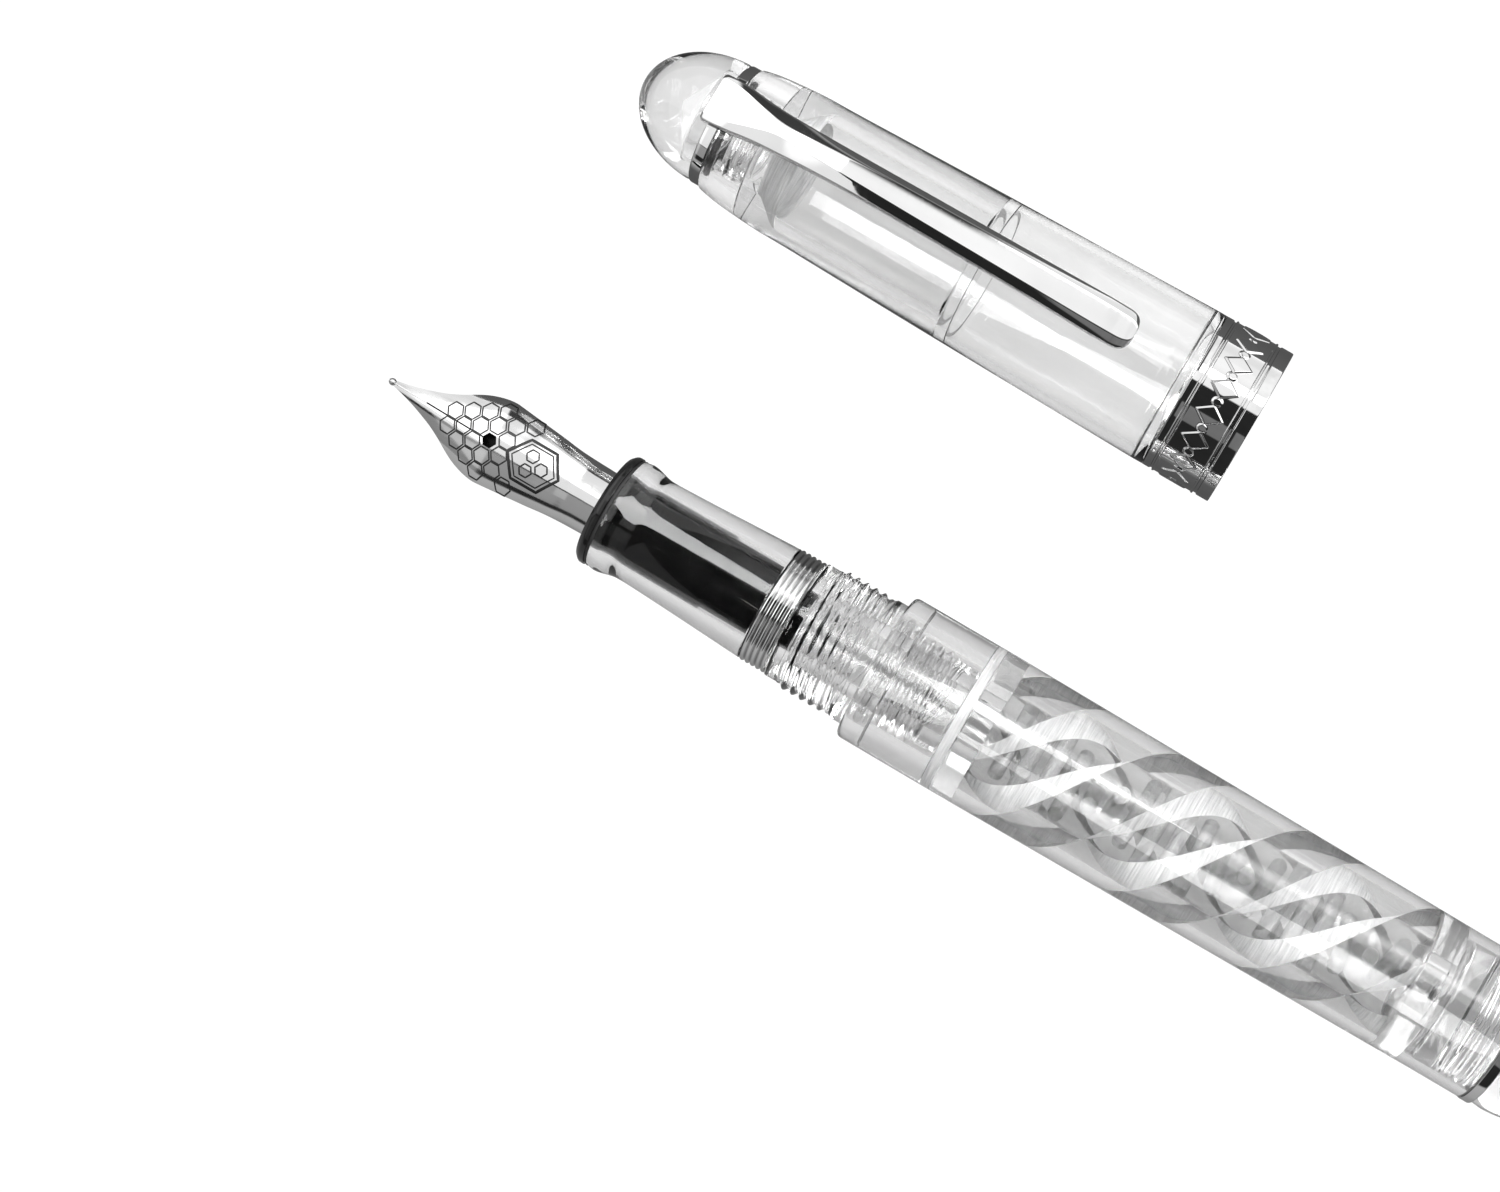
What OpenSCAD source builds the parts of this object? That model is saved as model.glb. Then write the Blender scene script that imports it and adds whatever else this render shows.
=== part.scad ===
// Clear demonstrator fountain pen, lying beside its cap.
// Pen and cap both point along X, nib and cap dome toward -X, resting on z = 0.
// Stations along the pen are counted from the nib's tip, stations along the cap from its dome.

/* [Overall] */
// Length of the pen without its cap
pen_len = 129.3; // [128.6:0.1:131]
// Distance between the axes of the pen and the cap
axis_gap = 36.4; // [30:0.1:60]
// How far the cap's dome lies behind the nib's tip
cap_offset = 6.6; // [0:0.1:30]
// How far the cap is rolled about its own axis
cap_roll = 8; // [-30:1:30]

/* [Section] */
// Radius of the lip at the front of the grip
grip_lip_r = 5.65; // [5.6:0.01:5.7]
// Radius of the grip's waist
grip_waist_r = 5.2; // [5.1:0.01:5.4]
// Radius of the grip's rear end
grip_rear_r = 5.8; // [5.7:0.01:5.85]
// Crest radius of the cap thread
cap_thread_r = 6.3; // [6.1:0.01:6.32]
// Pitch of the cap thread's crests
cap_thread_pitch = 0.95; // [0.9:0.01:1]
// Pitch of the thread that joins the section to the barrel
neck_thread_pitch = 0.94; // [0.85:0.01:0.96]

/* [Barrel] */
// Outer radius of the barrel's front part
barrel_r = 7.4; // [7.3:0.05:7.6]
// Outer radius of the barrel's rear end
barrel_rear_r = 6.95; // [6.9:0.01:7.2]
// Radius of the ink chamber
chamber_r = 6; // [5.9:0.01:6.05]

/* [Helix insert] */
// Length along the axis of a full turn of a strand
helix_lead = 27.5; // [24:0.5:34]
// Angle that one strand covers, seen along the axis
strand_outer_angle = 76;
strand_inner_angle = 122;
// Radial thickness of a strand
strand_depth = 1.7; // [1.2:0.1:2.2]
// Direction of the first strand at the front disc, from straight up toward the side away from the cap
helix_phase = 157; // [0:1:180]
// Distance between rungs
rung_pitch = 2.2; // [1.8:0.1:4]
// Radius of a rung
rung_r = 0.75; // [0.4:0.05:0.9]

/* [Cap] */
// Radius of the cap band
band_r = 7.8; // [7.75:0.01:7.85]
// Inner radius of the cap's skirt
skirt_bore_r = 6.75; // [6.7:0.01:6.8]
// Inner radius of the liner that closes on the grip
liner_bore_r = 5.1; // [4.8:0.05:5.3]

/* [Hidden] */
$fn = 96;

// Stations along the pen, from the nib's tip
tip_ball = 0.3;                    // the tipping reaches this far in front of station 0
nib_rear = 29;
nib_pivot = 22;                    // the nib's blade droops from here forward
nib_droop = 4.8;
nib_sheet = 0.35;
nib_rear_r = 3.5;
section_front = 23.5;
trim_rear = 24.5;
grip_front = 24.8;
grip_waist = 28;
grip_rear = 41.5;
rings_rear = 44.3;
collar_rear = 45.6;
cap_thread_rear = 51.3;
barrel_front = 52.9;
neck_rear = 61.7;
chamber_front = 62.8;
disc_rear = 65.2;
rear_disc_front = 109.3;
chamber_rear = 111.9;
plug_front = 112.8;
barrel_rear = 118.7;
finial_front = 119.7;
pen_rear = pen_len - tip_ball;

// Stations along the cap, from its dome
dome_front = 0;
ring_front = 8.3;
ring_rear = 9.5;
liner_front = 13.7;
liner_rear = 35.5;
skirt_front = 36.6;
band_front = 58.2;
cap_rear = 65.1;

cap_band_r = band_r + 0.1;         // the band's raised middle is what the cap lies on
tip_x = -pen_len/2 + tip_ball;
cap_x = tip_x + cap_offset;
half_y = (barrel_r + axis_gap + cap_band_r)/2;
pen_y = -half_y + barrel_r;
cap_y = half_y - cap_band_r;
clear = 0.05;                      // running clearance between turning pieces

metal = [0.78, 0.79, 0.81];
steel = [0.72, 0.73, 0.75];
black = [0.06, 0.06, 0.06];
clear_acrylic = [0.82, 0.87, 0.9, 0.35];
frosted_acrylic = [0.78, 0.84, 0.88, 0.55];

function ease(t) = (1 - cos(180*t))/2;

// Points of a profile that passes smoothly from one (radius, station) to another
function eased(r0, x0, r1, x1, n = 8) =
    [for (i = [0:n]) [r0 + (r1 - r0)*ease(i/n), x0 + (x1 - x0)*i/n]];

// Points of a profile that leaves (r0, x0) gently and then widens evenly to (r1, x1)
function flared(r0, x0, r1, x1, n = 10) =
    [for (i = [0:n]) [r0 + (r1 - r0)*pow(i/n, 1.15), x0 + (x1 - x0)*i/n]];

// Points of an elliptical dome from (r, x0) to the axis at x1
function dome(r, x0, x1, n = 12) =
    [for (i = [0:n]) [r*cos(90*i/n), x0 + (x1 - x0)*sin(90*i/n)]];

module on_pen() translate([tip_x, pen_y, barrel_r]) children();
module on_cap() translate([cap_x, cap_y, cap_band_r]) rotate([-cap_roll, 0, 0]) children();

// Turns a profile of (radius, station) points about the X axis
module turned() rotate([0, 90, 0]) rotate_extrude() children();

module ring(r_in, r_out, x0, x1)
    turned() translate([r_in, x0]) square([r_out - r_in, x1 - x0]);

module bar(r, x0, x1) ring(0, r, x0, x1);

// A row of V-shaped thread crests from radius r0 to radius r1
module crests(r0, r1, x0, pitch, n)
    for (i = [0:n - 1])
        turned() translate([0, x0 + i*pitch])
            polygon([[r0, 0], [r1, pitch*0.4], [r1, pitch*0.6], [r0, pitch]]);

/* ---- nib unit ---- */

// Profile of the drooping blade: outer radius at stations forward of the pivot
blade = [[2.2, 0], [3.2, 3.7], [4.2, 7.5], [4.85, 11.3], [4.5, 15], [3.9, 19], [nib_rear_r, nib_pivot]];

module nib_shell(inner, outer) {
    translate([nib_pivot, 0, 0]) rotate([0, -nib_droop, 0]) translate([-nib_pivot, 0, 0])
        turned() polygon(concat([for (p = blade) [p[0] - outer, p[1]]],
                                [for (i = [len(blade) - 1:-1:0]) [max(blade[i][0] - inner, 0), blade[i][1]]]));
    ring(max(nib_rear_r - inner, 0), nib_rear_r - outer, nib_pivot, nib_rear);
}

// Half of the nib's outline, seen from above
nib_half = [[0.5, 0.3], [1.9, 0.58], [3.5, 1], [5.3, 1.6], [6.2, 1.98], [7.1, 2.44], [8, 2.98], [9, 3.52],
            [10, 3.9], [10.9, 4.12], [11.6, 4.2], [12.4, 4.16], [16.8, 3.72], [20.6, 3.36], [nib_rear, 3.2]];

module nib_outline()
    polygon(concat(nib_half, [for (i = [len(nib_half) - 1:-1:0]) [nib_half[i][0], -nib_half[i][1]]]));

breather_x = 11.7;
breather_r = 0.75;

module nib() color(steel) on_pen() difference() {
    intersection() {
        nib_shell(nib_sheet, 0);
        linear_extrude(10) nib_outline();
    }
    translate([0, -0.06, -1]) cube([breather_x, 0.12, 10]);
    translate([breather_x, 0, -1]) cylinder(r = breather_r, h = 10, $fn = 6);
}

module nib_tipping() color(metal) on_pen() translate([0, 0, 0.15]) difference() {
    turned() polygon(concat([[0, -tip_ball]], [for (a = [30:30:150]) [0.35*sin(a), 0.1 - 0.4*cos(a)]],
                            [[0, 0.5]]));
    translate([-1, -0.04, 0]) cube([2, 0.08, 1]);
}

feed_r = 2.75;

module feed() color(black) on_pen() difference() {
    intersection() {
        union() {
            turned() polygon(concat([[0, 4], [0.6, 4]], eased(1, 4.6, feed_r, 12),
                                    [[feed_r, 21], [nib_rear_r - nib_sheet, 22.2],
                                     [nib_rear_r - nib_sheet, nib_rear], [0, nib_rear]]));
        }
        union() {
            nib_shell(9, nib_sheet);
            translate([0, -10, -10]) cube([nib_rear, 20, 10]);
        }
    }
    for (i = [0:11]) translate([9.6 + i*0.95, -5, -5]) cube([0.4, 10, 4.1]);
}

/* ---- section ---- */

housing_bore = nib_rear_r + clear;
housing_r = 3.85;
housing_rear_r = 3.6;
housing_tail_r = 3;
housing_step = 36;
housing_rear = 45.4;

module nib_housing() color(black) on_pen() difference() {
    union() {
        bar(housing_r, section_front + 0.2, housing_step);
        bar(housing_rear_r, housing_step - 1, grip_rear - 0.1);
        bar(housing_tail_r, grip_rear - 1, housing_rear);
    }
    ring(0, housing_bore, 20, nib_rear + 0.2);
    bar(1, 20, 60);
}

module front_trim_ring() color(metal) on_pen() turned()
    polygon([[housing_r, section_front], [grip_lip_r - 0.5, section_front],
             [grip_lip_r, section_front + 0.5], [grip_lip_r, trim_rear], [housing_r, trim_rear]]);

module front_gasket() color(black) on_pen() ring(housing_r, grip_lip_r - 0.2, trim_rear, grip_front);

module grip_sleeve() color(clear_acrylic) on_pen() turned()
    polygon(concat([[housing_r + clear, grip_front], [grip_lip_r, grip_front]],
                   eased(grip_lip_r, grip_front + 0.7, grip_waist_r, grip_waist),
                   flared(grip_waist_r, grip_waist + 1, grip_rear_r, grip_rear),
                   [[housing_r + clear, grip_rear]]));

core_r = 5.3;

module fine_rings() color(metal) on_pen() {
    ring(core_r, grip_rear_r - 0.1, grip_rear, rings_rear);
    crests(grip_rear_r - 0.2, grip_rear_r + 0.08, grip_rear, (rings_rear - grip_rear)/5, 5);
}

neck_bore = 2.6;
neck_thread_r = 4.8;
neck_root_r = 4.4;
pilot_r = 5.2;
oring_front = 53.5;
oring_rear = 54.7;

module threaded_neck() color(clear_acrylic) on_pen() difference() {
    union() {
        bar(core_r, grip_rear, rings_rear);
        bar(grip_rear_r + 0.15, rings_rear, collar_rear);
        bar(cap_thread_r - 0.35, collar_rear, cap_thread_rear);
        crests(cap_thread_r - 0.36, cap_thread_r, collar_rear, cap_thread_pitch, 6);
        bar(cap_thread_r, cap_thread_rear, barrel_front);
        bar(pilot_r, barrel_front, oring_rear + 0.5);
        bar(neck_root_r, oring_rear, neck_rear);
        crests(neck_root_r - 0.01, neck_thread_r, 55.5, neck_thread_pitch, 4);
    }
    bar(neck_bore, 40, 70);
    bar(housing_tail_r + clear, 40, housing_rear + 0.1);
    ring(pilot_r - 0.6, pilot_r + 1, oring_front, oring_rear);
}

module neck_oring() color(clear_acrylic) on_pen() turned()
    translate([pilot_r - 0.12, (oring_front + oring_rear)/2]) circle(r = 0.4, $fn = 24);

/* ---- barrel ---- */

mouth_bore = pilot_r + 0.35;
thread_bore = neck_thread_r + clear;
rear_bore = chamber_r + clear;
plug_r = chamber_r - 0.02;

module barrel() color(clear_acrylic) on_pen() difference() {
    turned() polygon(concat([[0, barrel_front]],
        [for (a = [0:22.5:90]) [barrel_r - 0.6 + 0.6*sin(a), barrel_front + 0.6 - 0.6*cos(a)]],
        [[barrel_r, 64], [barrel_rear_r, 114], [barrel_rear_r, barrel_rear], [0, barrel_rear]]));
    bar(mouth_bore, 50, 55.2);
    bar(thread_bore, 55, neck_rear + 0.2);
    crests(thread_bore - 0.01, thread_bore + 0.35, 55.6, neck_thread_pitch, 4);
    turned() polygon([[0, neck_rear + 0.1], [thread_bore, neck_rear + 0.1], [chamber_r, chamber_front],
                      [chamber_r, chamber_rear + 0.2], [rear_bore, chamber_rear + 0.2],
                      [rear_bore, 130], [0, 130]]);
    crests(rear_bore - 0.01, rear_bore + 0.3, 115.6, 0.92, 3);
}

strand_inner_r = chamber_r - strand_depth;
hole_r = 2.2;

module helix_disc(x0, x1) on_pen() ring(hole_r, chamber_r, x0, x1);
module helix_front_disc() color(clear_acrylic) helix_disc(chamber_front, disc_rear);
module helix_rear_disc() color(clear_acrylic) helix_disc(rear_disc_front, chamber_rear);

helix_len = rear_disc_front - disc_rear;

// Cross-section of one strand: wider within than without, so that its milled walls face outward
module strand_section() {
    n = 5;
    outer = strand_outer_angle/2;
    inner = strand_inner_angle/2;
    polygon(concat([for (i = [-n:n]) chamber_r*[cos(outer*i/n), sin(outer*i/n)]],
                   [for (i = [n:-1:-n]) strand_inner_r*[cos(inner*i/n), sin(inner*i/n)]]));
}

// The strands rise toward the cap's side as they run to the rear
module strand(phase)
    on_pen() translate([disc_rear, 0, 0]) rotate([0, 90, 0]) rotate([0, 0, 180 + phase])
        linear_extrude(height = helix_len, twist = 360*helix_len/helix_lead, slices = 44, $fn = 16)
            strand_section();

module helix_strand_a() color(frosted_acrylic) strand(helix_phase);
module helix_strand_b() color(frosted_acrylic) strand(helix_phase + 180);

rung_count = floor((helix_len - 1)/rung_pitch);
rung_half = sqrt(pow(strand_inner_r, 2) - pow(rung_r, 2));

module helix_rungs() color(frosted_acrylic) on_pen()
    for (i = [0:rung_count - 1]) {
        x = (helix_len - (rung_count - 1)*rung_pitch)/2 + i*rung_pitch;
        translate([disc_rear + x, 0, 0]) rotate([helix_phase - 360*x/helix_lead, 0, 0])
            cylinder(r = rung_r, h = 2*rung_half, center = true, $fn = 24);
    }

/* ---- barrel end ---- */

module rear_oring() color(clear_acrylic) on_pen() turned()
    translate([plug_r - 0.45, (chamber_rear + plug_front)/2]) circle(r = 0.35, $fn = 24);

module rear_trim_ring() color(metal) on_pen()
    ring(plug_r + clear, barrel_rear_r + 0.08, barrel_rear + 0.02, finial_front - 0.02);

module rear_finial() color(clear_acrylic) on_pen() difference() {
    turned() polygon(concat([[0, chamber_rear + 0.1], [plug_r - 1.2, chamber_rear + 0.1],
                             [plug_r - 1.2, plug_front], [plug_r, plug_front], [plug_r, finial_front]],
                            [[barrel_rear_r - 0.1, finial_front]],
                            dome(barrel_rear_r - 0.1, finial_front + 1.2, pen_rear)));
    for (i = [0:2]) ring(plug_r - 0.3, plug_r + 1, 115.9 + i*0.92, 116.3 + i*0.92);
}

/* ---- cap ---- */

stud_r = 4.2;
finial_bore_r = 3.1;
liner_r = 6.2;
thread_relief = cap_thread_r + 0.12;

module cap_tube() color(clear_acrylic) on_cap() difference() {
    turned() polygon(concat([[0, ring_rear], [6.25, ring_rear], [6.62, ring_rear + 2]],
                            [[6.95, 15.5], [7.03, 19.8], [7.38, 34.7], [band_r, 57.2], [band_r, band_front],
                             [band_r - 0.55, band_front], [band_r - 0.55, cap_rear - 0.4],
                             [0, cap_rear - 0.4]]));
    bar(4.95, 9, ring_rear + 0.9);
    bar(stud_r + clear, 9, 20);
    crests(stud_r + clear - 0.01, stud_r + 0.4, ring_rear + 1.1, 0.9, 2);
    bar(liner_r + clear, liner_front - 0.1, 40);
    bar(skirt_bore_r, skirt_front, 58);
    bar(thread_relief, 57, 70);
    crests(thread_relief - 0.01, thread_relief + 0.33, 57.8, cap_thread_pitch, 5);
}

module inner_cap() color(clear_acrylic) on_cap() turned()
    polygon([[finial_bore_r + 0.2, liner_front], [liner_r - 0.4, liner_front], [liner_r, liner_front + 0.6],
             [liner_r, liner_rear], [liner_bore_r + 0.35, liner_rear], [liner_bore_r, liner_rear - 0.5],
             [liner_bore_r, liner_front + 3.4], [finial_bore_r + 0.2, liner_front + 1.2]]);

module cap_band() color(metal) on_cap() {
    inner = band_r - 0.55;
    ring(inner, band_r, band_front, 58.9);
    ring(inner, band_r - 0.08, 58.9, 59.1);
    ring(inner, cap_band_r, 59.1, 63.5);
    ring(inner, band_r - 0.08, 63.5, 63.8);
    ring(inner, band_r, 63.8, cap_rear - 0.4);
    ring(thread_relief, band_r, cap_rear - 0.4, cap_rear);
}

module clip_ring() color(metal) on_cap() ring(stud_r, 6.1, ring_front, ring_rear);

module cap_finial() color(clear_acrylic) on_cap() difference() {
    turned() polygon(concat([for (a = [0:10:80]) [6.03*sin(a)*(1 - 0.0006*(80 - a)), 8.3 - 8.3*cos(a)]],
                            [[6.03, ring_front], [stud_r, ring_front], [stud_r, 13.3], [0, 13.3]]));
    bar(finial_bore_r, 6.5, 20);
    turned() polygon([[0, 5], [finial_bore_r, 6.6], [0, 6.6]]);
    for (i = [0:1]) ring(stud_r - 0.3, stud_r + 1, ring_rear + 1.5 + i*0.9, ring_rear + 1.9 + i*0.9);
}

module cap_seal() color(black) on_cap() turned()
    translate([stud_r + 0.375, ring_rear + 0.45]) circle(r = 0.3, $fn = 24);

// Sections of the clip along the cap: station, half-width of the flat top, half-width over the sides,
// height of the top, drop from the top to the sides' upper edge, height of the sides' lower edge
clip_sections = [[7.8, 1.7, 2.25, 7.95, 0.3, 7], [8.3, 1.85, 2.5, 8.1, 0.35, 7], [10.4, 1.62, 2.4, 8.45, 0.4, 7.1],
                 [13, 1, 2.1, 8.8, 0.6, 7.35], [15.7, 0.62, 1.92, 9, 0.7, 7.6], [21.5, 0.82, 1.8, 9.35, 0.65, 8],
                 [30.5, 1, 1.8, 9.5, 0.55, 8.2], [42, 1.12, 1.9, 9.35, 0.5, 8.15], [47.8, 1.15, 2, 9.15, 0.5, 8.1],
                 [50.2, 1.08, 1.9, 9, 0.45, 8.1], [51.5, 0.8, 1.35, 8.85, 0.35, 8.1], [52, 0.35, 0.7, 8.75, 0.3, 8.15]];

function clip_outer(s) = [[s[0], -s[2], s[5]], [s[0], -s[2], s[3] - s[4]], [s[0], -s[1], s[3]],
                          [s[0], s[1], s[3]], [s[0], s[2], s[3] - s[4]], [s[0], s[2], s[5]]];

// Joins six-cornered sections into one closed solid
module lofted(sections) {
    n = len(sections);
    points = [for (s = sections) each s];
    sides = [for (i = [0:n - 2]) for (k = [0:5])
        [6*i + k, 6*i + (k + 1)%6, 6*i + 6 + (k + 1)%6, 6*i + 6 + k]];
    halves = [for (f = sides) each [[f[0], f[1], f[2]], [f[0], f[2], f[3]]]];
    first = [for (k = [1:4]) [0, k + 1, k]];
    last = [for (k = [1:4]) [6*n - 6, 6*n - 6 + k, 6*n - 5 + k]];
    polyhedron(points, concat(first, halves, last));
}

module clip() color(metal) on_cap() {
    lofted([for (s = clip_sections) clip_outer(s)]);
    translate([ring_front + 0.05, -1, 6.16]) cube([ring_rear - ring_front - 0.1, 2, 1.2]);
}

nib();
nib_tipping();
feed();
nib_housing();
front_trim_ring();
front_gasket();
grip_sleeve();
fine_rings();
threaded_neck();
neck_oring();
barrel();
helix_front_disc();
helix_strand_a();
helix_strand_b();
helix_rungs();
helix_rear_disc();
rear_oring();
rear_trim_ring();
rear_finial();
cap_tube();
inner_cap();
cap_band();
clip_ring();
clip();
cap_finial();
cap_seal();
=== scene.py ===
"""Looks for a clear demonstrator fountain pen lying beside its cap.

Sizes are in millimetres. Stations run along X: the pen's from the nib's tip, the cap's from its dome.
"""
import math

import bpy
import bmesh
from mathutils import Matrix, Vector


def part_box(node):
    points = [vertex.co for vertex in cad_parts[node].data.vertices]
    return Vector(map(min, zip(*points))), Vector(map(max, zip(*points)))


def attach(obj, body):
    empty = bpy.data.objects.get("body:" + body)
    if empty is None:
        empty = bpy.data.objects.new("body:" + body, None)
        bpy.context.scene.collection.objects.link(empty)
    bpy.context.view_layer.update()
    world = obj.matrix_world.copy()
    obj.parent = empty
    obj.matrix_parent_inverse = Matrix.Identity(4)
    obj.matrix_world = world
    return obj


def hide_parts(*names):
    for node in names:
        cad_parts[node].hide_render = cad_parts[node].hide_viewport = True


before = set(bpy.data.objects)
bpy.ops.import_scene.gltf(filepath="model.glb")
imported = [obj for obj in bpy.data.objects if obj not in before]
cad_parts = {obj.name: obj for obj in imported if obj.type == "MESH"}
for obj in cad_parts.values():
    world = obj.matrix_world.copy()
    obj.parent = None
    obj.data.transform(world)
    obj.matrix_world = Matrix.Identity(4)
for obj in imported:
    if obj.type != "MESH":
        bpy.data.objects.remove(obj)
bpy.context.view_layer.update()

MM = 0.001
TAU = 2 * math.pi
SEGMENTS = 144
GAP = 0.02  # between pieces that touch
RUNNING = 0.05  # clearance of a piece in its bore
CONTACT = 0.02  # overlap that bonds an insert to the bore around it, so that no film of air shows


# ---------------------------------------------------------------- axes and mesh helpers

class Axis:
    """A turning axis along X: x is station 0, y and z place it, roll turns its up direction to +Y."""

    def __init__(self, x, y, z, roll=0.0):
        self.x, self.y, self.z, self.roll = x, y, z, math.radians(roll)

    def at(self, station, radius, angle):
        """A point in metres; angle is from straight up toward +Y."""
        a = angle + self.roll
        return Vector((self.x + station * MM,
                       self.y + radius * math.sin(a) * MM,
                       self.z + radius * math.cos(a) * MM))

    def local(self, station, side, up):
        """A point in metres, side toward +Y and up away from the table, before the roll."""
        return self.at(station, math.hypot(side, up), math.atan2(side, up))


def middle(node):
    low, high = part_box(node)
    return (low + high) / 2


TIP_BALL = 0.3
CAP_ROLL = 8
pen = Axis(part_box("nib_tipping")[0].x + TIP_BALL * MM, middle("barrel").y, middle("barrel").z)
cap = Axis(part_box("cap_finial")[0].x, middle("cap_band").y, middle("cap_band").z, CAP_ROLL)


def finished(name, mesh, body, materials, nodes, sharp=35):
    """Links the mesh as a piece that rides on a body and stands for CAD nodes."""
    mesh.validate()
    work = bmesh.new()
    work.from_mesh(mesh)
    bmesh.ops.recalc_face_normals(work, faces=work.faces)
    work.to_mesh(mesh)
    work.free()
    mesh.shade_smooth()
    mesh.set_sharp_from_angle(angle=math.radians(sharp))
    piece = bpy.data.objects.new(name, mesh)
    bpy.context.scene.collection.objects.link(piece)
    for material in materials:
        mesh.materials.append(material)
    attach(piece, body)
    if nodes:
        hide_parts(*nodes)
    return piece


def mesh_from(name, points, faces, face_slots=None):
    mesh = bpy.data.meshes.new(name)
    mesh.from_pydata([tuple(p) for p in points], [], faces)
    for i, s in enumerate(face_slots or []):
        mesh.polygons[i].material_index = s
    return mesh


def rounded(corners, steps=4):
    """Turns (radius, station, fillet) corners into points, with an arc at each corner that has a fillet."""
    points, n = [], len(corners)
    for i, corner in enumerate(corners):
        here = Vector(corner[:2])
        fillet = corner[2] if len(corner) > 2 else 0
        if not fillet:
            points.append(tuple(here))
            continue
        back = (Vector(corners[i - 1][:2]) - here).normalized() * fillet
        ahead = (Vector(corners[(i + 1) % n][:2]) - here).normalized() * fillet
        for k in range(steps + 1):
            t = k / steps
            points.append(tuple((1 - t) ** 2 * (here + back) + 2 * t * (1 - t) * here
                                + t ** 2 * (here + ahead)))
    return points


def eased(r0, x0, r1, x1, n=16):
    """Points of a profile that passes smoothly from one (radius, station) to another."""
    ease = [(1 - math.cos(math.pi * i / n)) / 2 for i in range(n + 1)]
    return [(r0 + (r1 - r0) * e, x0 + (x1 - x0) * i / n) for i, e in enumerate(ease)]


def flared(r0, x0, r1, x1, n=24):
    """Points of a profile that leaves the first end gently and then widens evenly."""
    return [(r0 + (r1 - r0) * (i / n) ** 1.15, x0 + (x1 - x0) * i / n) for i in range(n + 1)]


def straight(r0, x0, r1, x1, step):
    """Points every step along a straight stretch of profile."""
    n = max(1, round(abs(x1 - x0) / step))
    return [(r0 + (r1 - r0) * i / n, x0 + (x1 - x0) * i / n) for i in range(n + 1)]


def smooth_through(knots, per=8):
    """A Catmull-Rom curve through knots of any dimension."""
    out = []
    for i in range(len(knots) - 1):
        a, b, c, d = (Vector(knots[max(0, min(len(knots) - 1, j))]) for j in range(i - 1, i + 3))
        for k in range(per):
            t = k / per
            out.append(tuple(0.5 * (2 * b + (c - a) * t + (2 * a - 5 * b + 4 * c - d) * t * t
                                    + (3 * b - a - 3 * c + d) * t ** 3)))
    out.append(tuple(knots[-1]))
    return out


def skin(base, rows, n):
    """Faces between rows of n points, numbered from base, where each row closes on itself."""
    return [(base + i * n + k, base + i * n + (k + 1) % n,
             base + (i + 1) * n + (k + 1) % n, base + (i + 1) * n + k)
            for i in range(rows - 1) for k in range(n)]


def lathe(axis, profile, relief=None, segments=SEGMENTS):
    """Points and faces of a profile of (radius, station) turned about the axis. A profile that starts and
    ends on the axis closes there, and any other closes on itself."""
    points, faces, rows = [], [], []
    solid = profile[0][0] == 0
    for r, x in profile:
        start = len(points)
        if r == 0:
            points.append(axis.at(x, 0, 0))
            rows.append([start])
            continue
        for k in range(segments):
            a = TAU * k / segments
            points.append(axis.at(x, r + (relief(r, x, a) if relief else 0), a))
        rows.append(list(range(start, start + segments)))
    for low, high in zip(rows, rows[1:] + ([] if solid else rows[:1])):
        for k in range(segments):
            k2 = (k + 1) % segments
            if len(low) == 1:
                faces.append((low[0], high[k2], high[k]))
            elif len(high) == 1:
                faces.append((low[k], low[k2], high[0]))
            else:
                faces.append((low[k], low[k2], high[k2], high[k]))
    return points, faces


def turned(name, axis, profile, body, material, nodes, relief=None, segments=SEGMENTS, sharp=35):
    points, faces = lathe(axis, profile, relief, segments)
    return finished(name, mesh_from(name, points, faces), body, [material], nodes, sharp)


def frost(piece, axis, x0, x1, r0, r1):
    """Gives the faces between two stations and two radii the frosted material."""
    mesh = piece.data
    mesh.materials.append(frosted_acrylic)
    for face in mesh.polygons:
        station = (face.center.x - axis.x) / MM
        radius = math.hypot(face.center.y - axis.y, face.center.z - axis.z) / MM
        if x0 < station < x1 and r0 < radius < r1:
            face.material_index = 1


def thread(x0, x1, pitch, starts, height, above, run=0.8):
    """Relief of a right-hand screw thread on the surface whose radius is over `above`."""
    def relief(r, x, a):
        if r < above or not x0 <= x <= x1:
            return 0
        phase = (x + pitch * starts * a / TAU) / pitch % 1
        fade = min(1, (x - x0) / run, (x1 - x) / run)
        return height * fade * (0.5 - 0.5 * math.cos(TAU * phase)) ** 1.3
    return relief


def torus(name, axis, radius, station, thick, body, material, nodes):
    profile = [(radius + thick * math.cos(TAU * k / 20), station + thick * math.sin(TAU * k / 20))
               for k in range(20)]
    return turned(name, axis, profile, body, material, nodes)


# ---------------------------------------------------------------- materials

def new_material(name):
    material = bpy.data.materials.new(name)
    material.use_nodes = True
    nodes, links = material.node_tree.nodes, material.node_tree.links
    return material, nodes, links, nodes["Principled BSDF"]


def noise_field(nodes, links, scale, stretch=(1, 1, 1), detail=4.0):
    """Noise in object space, stretched along its axes. Scale is in features per metre."""
    place = nodes.new("ShaderNodeTexCoord")
    mapping = nodes.new("ShaderNodeMapping")
    mapping.inputs["Scale"].default_value = stretch
    noise = nodes.new("ShaderNodeTexNoise")
    noise.inputs["Scale"].default_value = scale
    noise.inputs["Detail"].default_value = detail
    links.new(place.outputs["Object"], mapping.inputs["Vector"])
    links.new(mapping.outputs["Vector"], noise.inputs["Vector"])
    return noise.outputs["Fac"]


def spread(nodes, links, value, low, high, start=0.35, end=0.65):
    """Maps a noise value onto low to high."""
    ranged = nodes.new("ShaderNodeMapRange")
    for key, number in zip(("From Min", "From Max", "To Min", "To Max"), (start, end, low, high)):
        ranged.inputs[key].default_value = number
    links.new(value, ranged.inputs["Value"])
    return ranged.outputs["Result"]


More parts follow.
